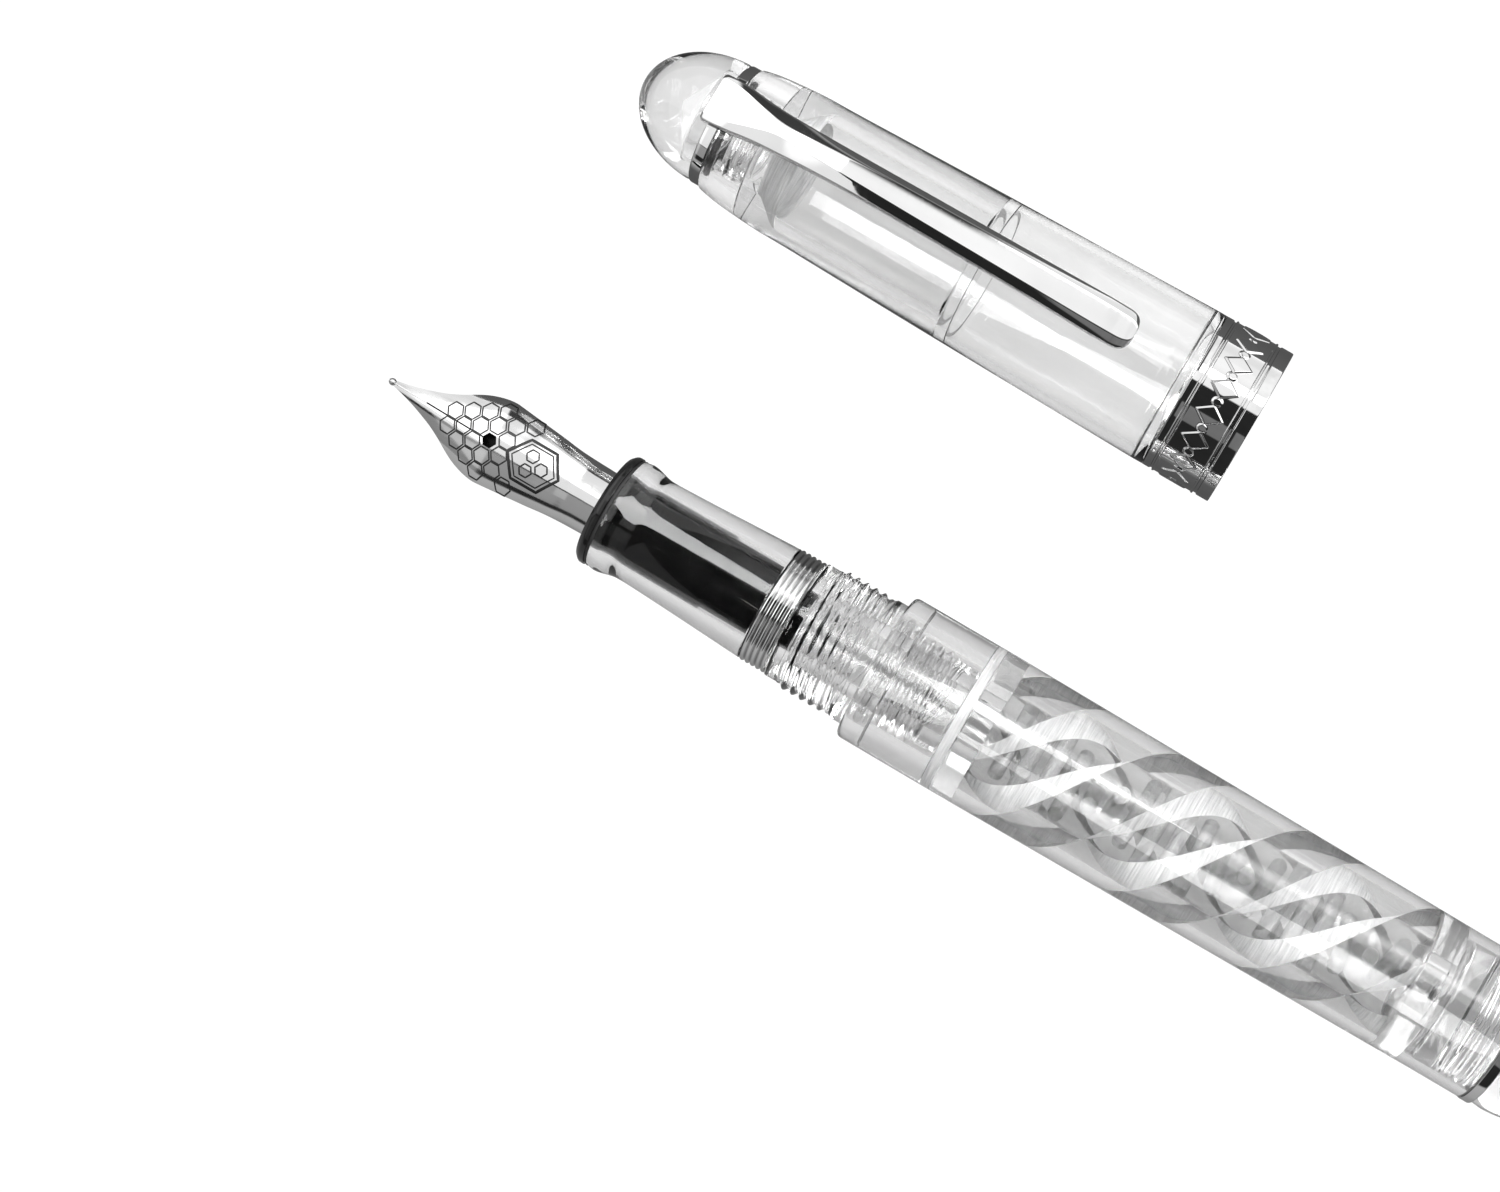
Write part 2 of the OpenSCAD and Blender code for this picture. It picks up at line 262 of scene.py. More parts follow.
def add_bump(nodes, links, shader, height, strength, distance):
    bump = nodes.new("ShaderNodeBump")
    bump.inputs["Strength"].default_value = strength
    bump.inputs["Distance"].default_value = distance
    links.new(height, bump.inputs["Height"])
    links.new(bump.outputs["Normal"], shader.inputs["Normal"])


def tone(nodes, links, shader, value, dark, light):
    ramp = nodes.new("ShaderNodeValToRGB")
    ramp.color_ramp.elements[0].position = 0.3
    ramp.color_ramp.elements[1].position = 0.7
    ramp.color_ramp.elements[0].color = (*dark, 1)
    ramp.color_ramp.elements[1].color = (*light, 1)
    links.new(value, ramp.inputs["Fac"])
    links.new(ramp.outputs["Color"], shader.inputs["Base Color"])


def painted_edge_shade(nodes, links, shader, edge, blend):
    """Painted shade: multiplies the shader's base colour toward a grey where the surface is seen edge on,
    darkening its rims and what they reflect.
    """
    facing = nodes.new("ShaderNodeLayerWeight")
    facing.inputs["Blend"].default_value = blend
    mix = nodes.new("ShaderNodeMix")
    mix.data_type, mix.blend_type = "RGBA", "MULTIPLY"
    links.new(facing.outputs["Facing"], mix.inputs["Factor"])
    links.new(shader.inputs["Base Color"].links[0].from_socket, mix.inputs["A"])
    mix.inputs["B"].default_value = (edge, edge, edge, 1)
    links.new(mix.outputs["Result"], shader.inputs["Base Color"])


def acrylic(name, dark, light, rough, wave=0.015, scale=300, stretch=(0.3, 1, 1), ior=1.49, edge=0.7,
            clear=1.0):
    """Clear or milled acrylic: faint polish marks in the roughness, a slow wave in the surface, and painted
    shade where it is seen edge on.
    """
    material, nodes, links, shader = new_material(name)
    shader.inputs["Transmission Weight"].default_value = clear
    shader.inputs["IOR"].default_value = ior
    marks = noise_field(nodes, links, scale * 6, stretch)
    links.new(spread(nodes, links, marks, *rough), shader.inputs["Roughness"])
    slow = noise_field(nodes, links, scale, stretch, 2.0)
    tone(nodes, links, shader, slow, dark, light)
    add_bump(nodes, links, shader, slow, wave, 0.0002)
    painted_edge_shade(nodes, links, shader, edge, 0.3)
    return material


def metal(name, dark, light, rough, stretch, scale=2500, bump=0.03, edge=0.6):
    """Metal with fine polishing lines along the stretch, a little unevenness in its gloss, and painted shade
    where it is seen edge on.
    """
    material, nodes, links, shader = new_material(name)
    shader.inputs["Metallic"].default_value = 1.0
    lines = noise_field(nodes, links, scale, stretch, 6.0)
    cloud = noise_field(nodes, links, 180, (1, 1, 1), 3.0)
    tone(nodes, links, shader, cloud, dark, light)
    links.new(spread(nodes, links, lines, *rough), shader.inputs["Roughness"])
    add_bump(nodes, links, shader, lines, bump, 0.00002)
    painted_edge_shade(nodes, links, shader, edge, 0.4)
    return material


def dull(name, dark, light, rough, scale=1500, bump=0.15, specular=0.5):
    """Moulded plastic or rubber with a fine grain."""
    material, nodes, links, shader = new_material(name)
    shader.inputs["Specular IOR Level"].default_value = specular
    grain = noise_field(nodes, links, scale, (1, 1, 1), 5.0)
    tone(nodes, links, shader, grain, dark, light)
    links.new(spread(nodes, links, grain, *rough), shader.inputs["Roughness"])
    add_bump(nodes, links, shader, grain, bump, 0.00003)
    return material


def grey(value):
    return (value, value, value)


# edge is the grey that the painted edge shade darkens each material toward where it is seen edge on.
clear_acrylic = acrylic("clear_acrylic", grey(0.93), grey(0.97), (0.0, 0.03), edge=0.8)
inner_acrylic = acrylic("inner_acrylic", grey(0.93), grey(0.97), (0.0, 0.04), ior=1.2, edge=0.8)
dome_acrylic = acrylic("dome_acrylic", grey(0.74), grey(0.84), (0.0, 0.03), edge=0.7)
milled_acrylic = acrylic("milled_acrylic", grey(0.93), grey(0.99), (0.03, 0.12), 0.12, 500, edge=0.85)
frosted_acrylic = acrylic("frosted_acrylic", grey(0.62), grey(1.0), (0.3, 0.5), 0.6, 350, (16, 1, 1),
                          edge=1.0, clear=0.2)
rod_acrylic = acrylic("rod_acrylic", grey(0.85), grey(1.0), (0.08, 0.25), 0.3, 600, (8, 1, 1),
                      edge=0.9, clear=0.75)
clear_silicone = acrylic("clear_silicone", grey(0.9), grey(0.96), (0.03, 0.1), 0.05, 400, ior=1.2)
chrome = metal("polished_steel", grey(0.9), grey(0.97), (0.02, 0.06), (1, 0.15, 0.15), edge=0.35)
nib_steel = metal("nib_steel", grey(0.84), grey(0.92), (0.06, 0.14), (0.05, 1, 1), bump=0.06, edge=0.4)
# Near-black, partly the etched finish and partly painted shade that stands in for the shade inside engraved
# grooves, which are drawn as ridges above the surface.
etched_steel_and_painted_shade = metal("etched_steel_and_painted_shade", grey(0.05), grey(0.09), (0.35, 0.5), (1, 1, 1), bump=0.2)
tip_metal = metal("tipping_metal", grey(0.6), grey(0.7), (0.12, 0.2), (1, 1, 1))
gloss_plastic = dull("gloss_plastic", grey(0.003), grey(0.005), (0.04, 0.08), bump=0.02, specular=0.4)
black_plastic = dull("black_plastic", grey(0.003), grey(0.005), (0.15, 0.22), bump=0.01, specular=0.05)
black_rubber = dull("black_rubber", grey(0.01), grey(0.016), (0.5, 0.65))


# ---------------------------------------------------------------- nib unit

NIB_PIVOT, NIB_REAR, NIB_DROOP, NIB_SHEET, NIB_REAR_R = 22, 29, math.radians(4.8), 0.35, 3.5
BREATHER_X, BREATHER_R, SLIT = 11.7, 0.75, 0.07
BLADE = [(2.2, 0), (3.2, 3.7), (4.2, 7.5), (4.85, 11.3), (4.5, 15), (3.9, 19), (NIB_REAR_R, NIB_PIVOT),
         (NIB_REAR_R, NIB_REAR)]
NIB_HALF = [(0.5, 0.3), (1.9, 0.58), (3.5, 1), (5.3, 1.6), (6.2, 1.98), (7.1, 2.44), (8, 2.98), (9, 3.52),
            (10, 3.9), (10.9, 4.12), (11.6, 4.2), (12.4, 4.16), (16.8, 3.72), (20.6, 3.36), (NIB_REAR, 3.2)]
blade_curve = smooth_through([(x, r) for r, x in BLADE], 12)
half_curve = smooth_through(NIB_HALF, 12)


def lookup(curve, x):
    """Height of a curve of (x, y) points at x."""
    for (x0, y0), (x1, y1) in zip(curve, curve[1:]):
        if x <= x1:
            return y0 + (y1 - y0) * (x - x0) / (x1 - x0)
    return curve[-1][1]


def on_nib(x, y, depth=0.0):
    """The point of the nib's upper surface over (x, y), or depth below it."""
    radius = lookup(blade_curve, x)
    centre = -max(0, NIB_PIVOT - x) * math.tan(NIB_DROOP)
    y = max(-radius * 0.985, min(radius * 0.985, y))
    lean = math.asin(y / radius)
    reach = radius - depth
    return pen.local(x, reach * math.sin(lean), centre + reach * math.cos(lean))


def breather_half(x):
    """Half-width of the slit and of the six-sided breather hole at x."""
    off = abs(x - BREATHER_X)
    if off < BREATHER_R:
        return max(SLIT, min(BREATHER_R * math.sqrt(3) / 2, (BREATHER_R - off) * math.sqrt(3)))
    return SLIT if x < BREATHER_X else 0.0


def nib_sheet():
    """The curved sheet: both tines as grids with a lower side, joined behind the breather hole."""
    across = 26
    stations = sorted(set([0.5 + 0.15 * i for i in range(190)]
                          + [BREATHER_X + BREATHER_R * k for k in (-1, -0.5, 0.5, 1)] + [NIB_REAR]))
    points, faces = [], []
    for side in (1, -1):
        base = len(points)
        for x in stations:
            inner, outer = breather_half(x), lookup(half_curve, x)
            loop = [(inner + (outer - inner) * k / across, 0.0) for k in range(across + 1)]
            loop += [(y, NIB_SHEET) for y, _ in reversed(loop)]
            points += [on_nib(x, side * y, depth) for y, depth in loop]
        n = 2 * (across + 1)
        for i in range(len(stations) - 1):
            for k in range(n):
                k2 = (k + 1) % n
                if k2 == 0 and stations[i] >= BREATHER_X + BREATHER_R:
                    continue
                faces.append((base + i * n + k, base + i * n + k2,
                              base + (i + 1) * n + k2, base + (i + 1) * n + k))
        for i in (0, len(stations) - 1):
            faces += [(base + i * n + k, base + i * n + k + 1,
                       base + i * n + n - 2 - k, base + i * n + n - 1 - k)
                      for k in range(across)]
    return points, faces


def engraved_line(points, faces, corners, width, closed=True):
    """Adds a low ridge along the corners, just above the nib's surface, that reads as an etched line."""
    n = len(corners)
    centre = Vector((sum(c[0] for c in corners) / n, sum(c[1] for c in corners) / n))
    fine = []
    for i in range(n if closed else n - 1):
        a, b = Vector(corners[i]), Vector(corners[(i + 1) % n])
        cuts = max(2, int((b - a).length / 0.2))
        fine += [a.lerp(b, k / cuts) for k in range(cuts)]
    if not closed:
        fine.append(Vector(corners[-1]))
    m, start = len(fine), len(points)
    for i, p in enumerate(fine):
        before = fine[i - 1] if (closed or i) else p
        after = fine[(i + 1) % m] if (closed or i < m - 1) else p
        way = (after - before).normalized()
        outward = Vector((way.y, -way.x))
        if closed and outward.dot(p - centre) < 0:
            outward.negate()
        for reach, rise in ((-0.5, 0.003), (0, 0.014), (0.5, 0.003)):
            q = p + outward * width * reach
            points.append(on_nib(q.x, q.y, -rise))
    for i in range(m if closed else m - 1):
        j = (i + 1) % m
        for k in (0, 1):
            faces.append((start + 3 * i + k, start + 3 * j + k, start + 3 * j + k + 1, start + 3 * i + k + 1))


def hexagon(x, y, r, squash=1.0):
    """A hexagon with corners fore and aft."""
    return [(x + r * math.cos(TAU * k / 6), y + r * squash * math.sin(TAU * k / 6)) for k in range(6)]


CELL_STEP_X, CELL_STEP_Y, CELL_R, LINE = 1.47, 1.57, 0.84, 0.15
CARTOUCHE_X, CARTOUCHE_R, CARTOUCHE_SQUASH = 16.4, 2.7, 0.87


def engraving():
    """Honeycomb over the blade, with a plain cartouche that holds three cells."""
    points, faces = [], []
    for column in range(-3, 8):
        x = BREATHER_X + column * CELL_STEP_X
        for row in range(-4, 5):
            y = (row + (0.5 if column % 2 else 0)) * CELL_STEP_Y
            edge = lookup(half_curve, x) - abs(y)
            away = math.hypot(x - CARTOUCHE_X, y / CARTOUCHE_SQUASH)
            in_hole = math.hypot(x - BREATHER_X, y) < 1.3
            pattern_edge = 0.55 + 0.42 * max(0, x - 14.5)
            past_end = x > 20.5 and abs(y) < 0.1
            if edge < pattern_edge * 0.9 or away < CARTOUCHE_R + 0.35 or in_hole or past_end:
                continue
            engraved_line(points, faces, hexagon(x, y, CELL_R), LINE)
    for r, width in ((CARTOUCHE_R, 0.28), (CARTOUCHE_R - 0.45, 0.14)):
        engraved_line(points, faces, hexagon(CARTOUCHE_X, 0, r, CARTOUCHE_SQUASH), width)
    for k in range(3):
        a = TAU * k / 3
        engraved_line(points, faces, hexagon(CARTOUCHE_X + 0.86 * math.cos(a), 0.86 * math.sin(a), 0.64),
                      0.16)
    return points, faces


def make_nib():
    points, faces = nib_sheet()
    sheet = finished("nib_sheet", mesh_from("nib_sheet", points, faces), "nib_unit", [nib_steel],
                     ["nib"], 50)
    weld = bmesh.new()
    weld.from_mesh(sheet.data)
    bmesh.ops.remove_doubles(weld, verts=weld.verts, dist=1e-7)
    bmesh.ops.recalc_face_normals(weld, faces=weld.faces)
    weld.to_mesh(sheet.data)
    weld.free()
    points, faces = engraving()
    # The engraving's near-black colour is partly the etched finish and partly painted groove shade.
    finished("nib_engraving", mesh_from("nib_engraving", points, faces), "nib_unit",
             [etched_steel_and_painted_shade], [])


def make_tipping():
    """Two halves of the tipping ball, parted by the slit."""
    rings, around = 14, 20
    points, faces = [], []
    for side in (1, -1):
        base = len(points)
        for i in range(rings + 1):
            t = i / rings
            x = -TIP_BALL + 0.95 * t
            r = 0.35 * math.sin(math.pi * min(1, t * 1.15 + 0.03)) ** 0.6 if t < 0.85 else 0.16
            for k in range(around + 1):
                a = math.pi * k / around
                points.append(pen.local(x, side * (0.035 + r * math.sin(a) * 0.9), 0.15 + r * math.cos(a)))
        n = around + 1
        faces += skin(base, rings + 1, n)
        faces.append(tuple(base + k for k in range(n)))
        faces.append(tuple(base + rings * n + k for k in range(n)))
    finished("tipping", mesh_from("tipping", points, faces), "nib_unit", [tip_metal],
             ["nib_tipping"], 60)


# ---------------------------------------------------------------- section

HOUSING_R, HOUSING_TAIL_R, HOUSING_REAR = 3.85, 3, 45.4
LIP_R, WAIST_R, GRIP_REAR_R, CORE_R = 5.65, 5.2, 5.8, 5.3
SECTION_FRONT, TRIM_REAR, GRIP_FRONT, GRIP_REAR = 23.5, 24.5, 24.8, 41.5
RINGS_REAR, COLLAR_REAR, CAP_THREAD_REAR, BARREL_FRONT = 44.3, 45.6, 51.3, 52.9
CAP_THREAD_R, CAP_THREAD_DEPTH, CAP_THREAD_PITCH, CAP_THREAD_STARTS = 6.3, 0.35, 0.95, 2
NECK_REAR, NECK_ROOT_R, NECK_THREAD_R, NECK_PITCH, PILOT_R, NECK_BORE = 61.7, 4.4, 4.8, 0.94, 5.2, 2.6
ORING_FRONT, ORING_REAR = 53.5, 54.7


def make_section():
    trim = rounded([(HOUSING_R, SECTION_FRONT), (LIP_R - 0.45, SECTION_FRONT, 0.1),
                    (LIP_R, SECTION_FRONT + 0.45, 0.2), (LIP_R, TRIM_REAR, 0.08), (HOUSING_R, TRIM_REAR)])
    turned("trim_ring", pen, trim, "section", gloss_plastic, ["front_trim_ring"])
    gasket = rounded([(HOUSING_R, TRIM_REAR), (LIP_R - 0.2, TRIM_REAR), (LIP_R - 0.2, GRIP_FRONT),
                      (HOUSING_R, GRIP_FRONT)])
    turned("gasket", pen, gasket, "section", black_rubber, ["front_gasket"])
    bore = HOUSING_R + RUNNING
    grip = rounded([(bore, GRIP_FRONT + GAP), (LIP_R, GRIP_FRONT + GAP, 0.12)])
    grip += eased(LIP_R, GRIP_FRONT + 0.7, WAIST_R, 28) + flared(WAIST_R, 28.6, GRIP_REAR_R, GRIP_REAR - 0.1)
    grip += rounded([(GRIP_REAR_R, GRIP_REAR - GAP, 0.08), (bore, GRIP_REAR - GAP)], 3)
    turned("grip", pen, grip, "section", clear_acrylic, ["grip_sleeve"])
    step = (RINGS_REAR - GRIP_REAR) / 5
    ridges = [(CORE_R, GRIP_REAR)]
    for i in range(5):
        ridges += [(GRIP_REAR_R - 0.22 + 0.3 * math.sin(math.pi * k / 8) ** 0.7,
                    GRIP_REAR + step * (i + k / 8))
                   for k in range(9 if i == 4 else 8)]
    turned("ridge_rings", pen, ridges + [(CORE_R, RINGS_REAR)], "section", chrome,
           ["fine_rings"], sharp=60)


def make_neck():
    """Clear core of the section: cap thread in front, barrel thread behind."""
    root = CAP_THREAD_R - CAP_THREAD_DEPTH
    tail, collar = HOUSING_TAIL_R + RUNNING, GRIP_REAR_R + 0.15
    profile = rounded([(tail, GRIP_REAR), (CORE_R - GAP, GRIP_REAR), (CORE_R - GAP, RINGS_REAR + GAP),
                       (collar, RINGS_REAR + GAP, 0.15), (collar, COLLAR_REAR - 0.1, 0.1)])
    profile += straight(root, COLLAR_REAR, root, CAP_THREAD_REAR, 0.06)
    profile += rounded([(CAP_THREAD_R, CAP_THREAD_REAR + 0.3, 0.12), (CAP_THREAD_R, BARREL_FRONT - GAP, 0.1),
                        (PILOT_R, BARREL_FRONT - GAP), (PILOT_R, ORING_FRONT, 0.05),
                        (PILOT_R - 0.6, ORING_FRONT), (PILOT_R - 0.6, ORING_REAR),
                        (PILOT_R, ORING_REAR, 0.05), (PILOT_R, ORING_REAR + 0.5, 0.1),
                        (NECK_ROOT_R, ORING_REAR + 0.5)])
    profile += straight(NECK_ROOT_R, 55.3, NECK_ROOT_R, 59.5, 0.06)
    profile += rounded([(NECK_ROOT_R, NECK_REAR, 0.25), (NECK_BORE, NECK_REAR, 0.15),
                        (NECK_BORE, HOUSING_REAR + 0.8, 0.3), (tail, HOUSING_REAR + 0.1, 0.2)])
    cap_thread = thread(COLLAR_REAR + 0.05, CAP_THREAD_REAR + 0.2, CAP_THREAD_PITCH, CAP_THREAD_STARTS,
                        CAP_THREAD_DEPTH, 5.6, 0.5)
    barrel_thread = thread(55.3, 59.5, NECK_PITCH, 1, NECK_THREAD_R - NECK_ROOT_R, 4.3, 0.3)
    turned("neck", pen, profile, "section", clear_acrylic, ["threaded_neck"],
           lambda r, x, a: cap_thread(r, x, a) + (barrel_thread(r, x, a) if x > 55 else 0), 180, 50)
    torus("neck_seal_ring", pen, PILOT_R - 0.12, (ORING_FRONT + ORING_REAR) / 2, 0.4, "neck_seal",
          clear_silicone, ["neck_oring"])


# ---------------------------------------------------------------- barrel and helix insert

BARREL_R, BARREL_REAR_R, CHAMBER_R = 7.4, 6.95, 6.0
CHAMBER_FRONT, DISC_REAR, REAR_DISC_FRONT, CHAMBER_REAR = 62.8, 65.2, 109.3, 111.9
PLUG_FRONT, BARREL_REAR, FINIAL_FRONT, PEN_REAR = 112.8, 118.7, 119.7, 129.0
HELIX_LEAD, STRAND_DEPTH, HELIX_PHASE = 27.5, 1.7, math.radians(157)
OUTER_HALF, INNER_HALF = math.radians(38), math.radians(61)
RUNG_PITCH, RUNG_R, DISC_HOLE = 2.2, 0.75, 2.2


def make_barrel():
    thread_bore, mouth_bore, rear_bore = NECK_THREAD_R + RUNNING, PILOT_R + 0.35, CHAMBER_R + RUNNING
    profile = rounded([
        (mouth_bore, BARREL_FRONT, 0.1), (BARREL_R, BARREL_FRONT, 0.6), (BARREL_R, 64), (BARREL_REAR_R, 114),
        (BARREL_REAR_R, BARREL_REAR, 0.1), (rear_bore, BARREL_REAR, 0.1), (rear_bore, CHAMBER_REAR + 0.2),
        (CHAMBER_R, CHAMBER_REAR + 0.2), (CHAMBER_R, CHAMBER_FRONT), (thread_bore, NECK_REAR + 0.1, 0.1),
        (thread_bore, 55.3, 0.1), (mouth_bore, 55.2, 0.1)], 6)
    shell = turned("barrel_shell", pen, profile, "barrel", clear_acrylic, ["barrel"],
                   segments=192)
    frost(shell, pen, NECK_REAR, CHAMBER_FRONT + 0.02, thread_bore + 0.05, CHAMBER_R - 0.05)
    rear = 0.02 + BARREL_REAR
    ring = rounded([(5.99, rear), (BARREL_REAR_R + 0.08, rear, 0.12),
                    (BARREL_REAR_R + 0.08, FINIAL_FRONT - GAP, 0.12), (5.99, FINIAL_FRONT - GAP)])
    turned("end_ring", pen, ring, "rear_seal", chrome, ["rear_trim_ring"])
    torus("end_seal_ring", pen, 5.55, (CHAMBER_REAR + PLUG_FRONT) / 2, 0.34, "rear_seal",
          clear_silicone, ["rear_oring"])


def make_rear_finial():
    plug, dome_r = CHAMBER_R - GAP, BARREL_REAR_R - 0.1
    root = plug - 0.3
    profile = [(0, CHAMBER_REAR + 0.12)]
    profile += rounded([(plug - 1.2, CHAMBER_REAR + 0.12, 0.1), (plug - 1.2, PLUG_FRONT),
                        (plug, PLUG_FRONT, 0.15), (plug, 115.7, 0.05), (root, 115.9)])
    profile += straight(root, 115.95, root, 118.5, 0.06)
    profile += rounded([(root, FINIAL_FRONT), (dome_r, FINIAL_FRONT, 0.12)])
    start = FINIAL_FRONT + 1.2
    profile += [(dome_r * math.cos(a), start + (PEN_REAR - start) * math.sin(a))
                for a in (math.pi / 2 * k / 24 for k in range(24))]
    profile.append((0, PEN_REAR))
    turned("end_finial", pen, profile, "rear_finial", clear_acrylic, ["rear_finial"],
           thread(115.95, 118.5, 0.92, 1, 0.28, root - 0.05, 0.3), 160, 50)


def helix_angle(x):
    """Direction of the first strand at a station, from straight up toward +Y."""
    return -(HELIX_PHASE - TAU * (x - DISC_REAR) / HELIX_LEAD)


def strand(name, node, offset):
    """One milled strand: smooth faces inside and out, and frosted walls that lean outward between them."""
    around, stations = 22, 260
    outer, inner = CHAMBER_R + CONTACT, CHAMBER_R - STRAND_DEPTH
    arc = [-1 + 2 * k / around for k in range(around + 1)]
    lean = [(outer + (inner - outer) * k / 4, OUTER_HALF + (INNER_HALF - OUTER_HALF) * k / 4)
            for k in range(1, 4)]
    loop = [(outer, OUTER_HALF * t) for t in arc] + lean
    loop += [(inner, -INNER_HALF * t) for t in arc] + [(r, -a) for r, a in reversed(lean)]
    n, points = len(loop), []
    walls = [*range(around, around + 4), *range(2 * around + 4, n)]
    low, high = DISC_REAR + GAP, REAR_DISC_FRONT - GAP
    for i in range(stations + 1):
        x = low + (high - low) * i / stations
        points += [pen.at(x, r, a + offset + helix_angle(x)) for r, a in loop]
    faces = skin(0, stations + 1, n)
    slots = [1 if k in walls else 0 for _ in range(stations) for k in range(n)]
    faces += [tuple(range(n)), tuple(stations * n + k for k in range(n))]
    slots += [1, 1]
    finished(name, mesh_from(name, points, faces, slots), "barrel",
             [milled_acrylic, frosted_acrylic], [node], 40)


def make_rungs():
    """Round rods across the insert, each square to the strands' middle at its station."""
    length = REAR_DISC_FRONT - DISC_REAR
    count = int((length - 1) / RUNG_PITCH)
    half = math.sqrt((CHAMBER_R - STRAND_DEPTH) ** 2 - RUNG_R ** 2) - 0.03
    around, points, faces = 28, [], []
    rims = [(-half, 0.6), (-half, 0.93), (-half + 0.06, 1.0), (half - 0.06, 1.0), (half, 0.93), (half, 0.6)]
    for i in range(count):
        x = DISC_REAR + (length - (count - 1) * RUNG_PITCH) / 2 + i * RUNG_PITCH
        up = pen.at(x, 1, helix_angle(x)) - pen.at(x, 0, 0)
        side = Vector((0, -up.z, up.y))
        base = len(points)
        for reach, share in rims:
            for k in range(around):
                a = TAU * k / around
                points.append(pen.at(x, 0, 0) + up * reach + share * RUNG_R
                              * (side * math.sin(a) + Vector((MM * math.cos(a), 0, 0))))
        faces += skin(base, len(rims), around)
        faces += [tuple(base + k for k in range(around)),
                  tuple(base + (len(rims) - 1) * around + k for k in range(around))]
    finished("rungs", mesh_from("rungs", points, faces), "barrel", [rod_acrylic],
             ["helix_rungs"], 40)


def make_helix():
    outer = CHAMBER_R + CONTACT
    for name, node, x0, x1 in (("front_disc", "helix_front_disc", CHAMBER_FRONT + 0.05, DISC_REAR),
                               ("rear_disc", "helix_rear_disc", REAR_DISC_FRONT, CHAMBER_REAR)):
        disc = rounded([(DISC_HOLE, x0, 0.15), (outer, x0), (outer, x1), (DISC_HOLE, x1, 0.15)])
        turned(name, pen, disc, "barrel", clear_acrylic, [node])
    strand("strand_a", "helix_strand_a", 0)
    strand("strand_b", "helix_strand_b", math.pi)
    make_rungs()


# ---------------------------------------------------------------- cap

RING_FRONT, RING_REAR, STUD_R, FINIAL_BORE_R, DOME_R = 8.3, 9.5, 4.2, 3.1, 6.03
LINER_FRONT, LINER_REAR, LINER_R, LINER_BORE_R = 13.7, 35.5, 6.2, 5.1
SKIRT_FRONT, SKIRT_BORE_R, BAND_FRONT, BAND_R, CAP_REAR = 36.6, 6.75, 58.2, 7.8, 65.1
MOUTH_R = CAP_THREAD_R + 0.12


def make_cap_tube():
    under_band = BAND_R - 0.57
    outside = smooth_through([(6.25, RING_REAR + GAP), (6.62, 11.5), (6.95, 15.5), (7.03, 19.8),
                              (7.38, 34.7), (7.66, 50), (BAND_R, 57.2)], 8)
    profile = [(STUD_R + 0.75, RING_REAR + GAP)] + outside
    profile += rounded([(BAND_R, BAND_FRONT - GAP, 0.06), (under_band, BAND_FRONT - GAP),
                        (under_band, CAP_REAR - 0.42), (MOUTH_R + GAP, CAP_REAR - 0.42, 0.1)])
    profile += straight(MOUTH_R + GAP, 62.6, MOUTH_R + GAP, 57.8, 0.08)
    profile += rounded([(MOUTH_R + GAP, 57.2, 0.1), (SKIRT_BORE_R, 57.0, 0.1),
                        (SKIRT_BORE_R, SKIRT_FRONT, 0.1), (LINER_R + RUNNING, SKIRT_FRONT, 0.05),
                        (LINER_R + RUNNING, LINER_FRONT - 0.1, 0.1),
                        (STUD_R + 0.05, LINER_FRONT - 0.1, 0.05), (STUD_R + 0.05, RING_REAR + 0.9),
                        (STUD_R + 0.75, RING_REAR + 0.9)])
    groove = thread(57.6, 62.8, CAP_THREAD_PITCH, CAP_THREAD_STARTS, 0.3, MOUTH_R - 0.1, 0.5)
    turned("cap_shell", cap, profile, "cap", clear_acrylic, ["cap_tube"],
           lambda r, x, a: groove(r, x, a) if r < MOUTH_R + 0.1 else 0, 180, 40)


def make_inner_cap():
    outer = LINER_R + RUNNING + CONTACT
    profile = rounded([(FINIAL_BORE_R + 0.2, LINER_FRONT, 0.1), (outer, LINER_FRONT, 0.15),
                       (outer, LINER_REAR, 0.12),
                       (LINER_BORE_R + 0.35, LINER_REAR, 0.05), (LINER_BORE_R, LINER_REAR - 0.5, 0.1),
                       (LINER_BORE_R, LINER_FRONT + 3.4, 0.6), (FINIAL_BORE_R + 0.2, LINER_FRONT + 1.2, 0.3)])
    cup = turned("cap_liner_cup", cap, profile, "cap_liner", inner_acrylic, ["inner_cap"])
    frost(cup, cap, LINER_FRONT + 1, LINER_FRONT + 3.7, FINIAL_BORE_R, LINER_BORE_R + 0.05)
    torus("cap_seal_ring", cap, STUD_R + 0.375, RING_REAR + 0.45, 0.3, "cap_seal",
          black_rubber, ["cap_seal"])


def make_cap_finial():
    profile = [(0, 0)] + [(DOME_R * math.sin(a), RING_FRONT * (1 - math.cos(a)))
                          for a in (math.pi / 2 * k / 28 for k in range(1, 28))]
    profile += rounded([(DOME_R, RING_FRONT, 0.08), (STUD_R, RING_FRONT)])
    profile += straight(STUD_R - 0.25, RING_REAR + 1.2, STUD_R - 0.25, 13.0, 0.07)
    profile += rounded([(STUD_R - 0.25, 13.3, 0.15), (FINIAL_BORE_R, 13.3, 0.15), (FINIAL_BORE_R, 6.6, 0.3)])
    profile.append((0, 5))
    turned("cap_dome", cap, profile, "cap", dome_acrylic, ["cap_finial"],
           thread(RING_REAR + 1.2, 13.0, 0.9, 1, 0.24, STUD_R - 0.3, 0.3), 160, 50)
    ring = rounded([(STUD_R + GAP, RING_FRONT + GAP), (6.1, RING_FRONT + GAP, 0.15),
                    (6.1, RING_REAR - GAP, 0.15), (STUD_R + GAP, RING_REAR - GAP)])
    turned("clip_washer", cap, ring, "cap", chrome, ["clip_ring"])


LOZENGES = 18
RELIEF = 0.11


